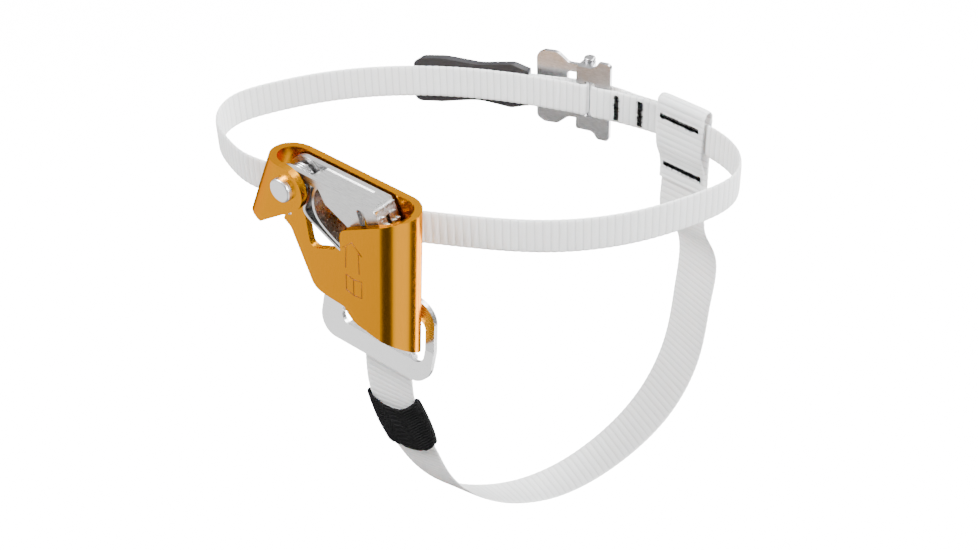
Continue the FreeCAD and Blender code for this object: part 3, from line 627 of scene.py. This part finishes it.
softened("frame", 0.9, GOLD)
softened("cam", 0.3, CAM)
softened("strap_bracket", 0.8, BRACKET)
softened("buckle_frame", 0.35, BUCKLE)
softened("buckle_lever", 0.35, BUCKLE)
softened("tail_tab", 0.7, PLASTIC)
ankle_webbing()
foot_webbing()
foot_sleeve()
ankle_tack("tack_near_buckle", "ankle_tack_near_buckle", 5.6)
ankle_tack("tack_far", "ankle_tack_far", 16.4)
inside = WEB_T / 2 + HANGER_GAP     # from the ankle webbing's middle to the hanger
hanger_tack("tack_upper", "foot_tack_upper", 4.0, -inside - WEB_T)
hanger_tack("tack_lower", "foot_tack_lower", -20.5, inside - WEB_T)
end_tack()
etched("up_arrow", ARROW)
etched("booklet", BOOKLET)


# ---- stage, camera and light --------------------------------------------------------------
def glowing(name, colour, strength):
    return Shader(name, Roughness=1.0, Base_Color=(0.8, 0.8, 0.8, 1),
                  Emission_Color=(*colour, 1), Emission_Strength=strength).material


def backdrop():
    """White floor that curves up into a wall on every side, with a white ceiling."""
    white = glowing("studio_white", (1, 1, 1), 14.0)
    floor, ceiling, reach, curve = -0.62, 4.0, 3.0, 0.8
    profile = [(0.001, floor)]
    profile += [(reach - curve + curve * math.sin(a), floor + curve - curve * math.cos(a))
                for a in np.linspace(0, math.pi / 2, 12)]
    profile += [(reach, ceiling), (0.001, ceiling)]
    around = 72
    verts, faces = [], []
    for radius, height in profile:
        for j in range(around):
            a = 2 * math.pi * j / around
            verts.append((radius * math.cos(a), radius * math.sin(a), height))
    for i in range(len(profile) - 1):
        for j in range(around):
            q = (j + 1) % around
            low, high = i * around, (i + 1) * around
            faces.append((low + j, low + q, high + q, high + j))
    made = mesh_object("backdrop", verts, faces, white)
    made.visible_diffuse = False
    made.visible_glossy = False
    made.visible_shadow = False


def lamp(name, place, aim, size, power):
    data = bpy.data.lights.new(name, "AREA")
    data.shape = "RECTANGLE"
    data.size, data.size_y = size
    data.energy = power
    made = bpy.data.objects.new(name, data)
    made.location = place
    made.rotation_mode = "QUATERNION"
    made.rotation_quaternion = (Vector(aim) - Vector(place)).to_track_quat("-Z", "Y")
    bpy.context.collection.objects.link(made)


LOBES = [((-0.738, -0.268, -0.620), 0.845, 0.945, 1.50),
         ((-0.500, -0.790, -0.335), 0.945, 0.998, 2.00),
         ((0.700, -0.330, -0.640), 0.800, 0.930, 1.90),
         ((-0.456, 0.634, 0.625), 0.700, 0.950, 0.75),
         ((0.0, 0.0, 1.0), 0.10, 0.90, 0.60)]
AMBIENT = 0.12


def studio_light():
    """World of soft boxes: each lobe is a direction, the cosines where it fades, its strength."""
    world = bpy.data.worlds.new("studio")
    world.use_nodes = True
    tree = world.node_tree
    where = tree.nodes.new("ShaderNodeTexCoord").outputs["Generated"]
    total = None
    for direction, far, near, strength in LOBES:
        dot = tree.nodes.new("ShaderNodeVectorMath")
        dot.operation = "DOT_PRODUCT"
        dot.inputs[1].default_value = direction
        tree.links.new(where, dot.inputs[0])
        fade = tree.nodes.new("ShaderNodeMapRange")
        fade.interpolation_type = "SMOOTHSTEP"
        fade.inputs["From Min"].default_value = far
        fade.inputs["From Max"].default_value = near
        fade.inputs["To Max"].default_value = strength
        tree.links.new(dot.outputs["Value"], fade.inputs["Value"])
        join = tree.nodes.new("ShaderNodeMath")
        join.inputs[1].default_value = AMBIENT
        tree.links.new(fade.outputs[0], join.inputs[0])
        if total is not None:
            tree.links.new(total, join.inputs[1])
        total = join.outputs[0]
    background = tree.nodes["Background"]
    background.inputs["Color"].default_value = (1, 1, 1, 1)
    tree.links.new(total, background.inputs["Strength"])
    bpy.context.scene.world = world


def camera():
    data = bpy.data.cameras.new("camera")
    data.sensor_width = 36.0
    data.lens = 55.2
    data.clip_start = 0.01
    data.clip_end = 20.0
    made = bpy.data.objects.new("camera", data)
    right = Vector((0.7924, 0.6088, 0.0388)).normalized()
    back = Vector((0.4562, -0.6336, 0.6248)).normalized()
    up = back.cross(right).normalized()
    right = up.cross(back)
    turn = Matrix((right, up, back)).transposed()
    made.matrix_world = Matrix.Translation((0.2810, -0.3315, 0.3265)) @ turn.to_4x4()
    bpy.context.collection.objects.link(made)
    bpy.context.scene.camera = made


backdrop()
camera()
studio_light()
lamp("key", (-0.9, -0.9, 1.2), (0, 0.05, -0.05), (0.7, 0.7), 88)
lamp("right", (1.5, 0.1, 0.8), (0, 0.05, -0.05), (0.6, 0.6), 80)
lamp("back", (0.2, 1.5, 1.1), (0, 0.05, -0.05), (0.9, 0.9), 52)
lamp("low", (0.3, 1.3, -0.9), (0, 0.05, -0.05), (0.9, 0.9), 34)
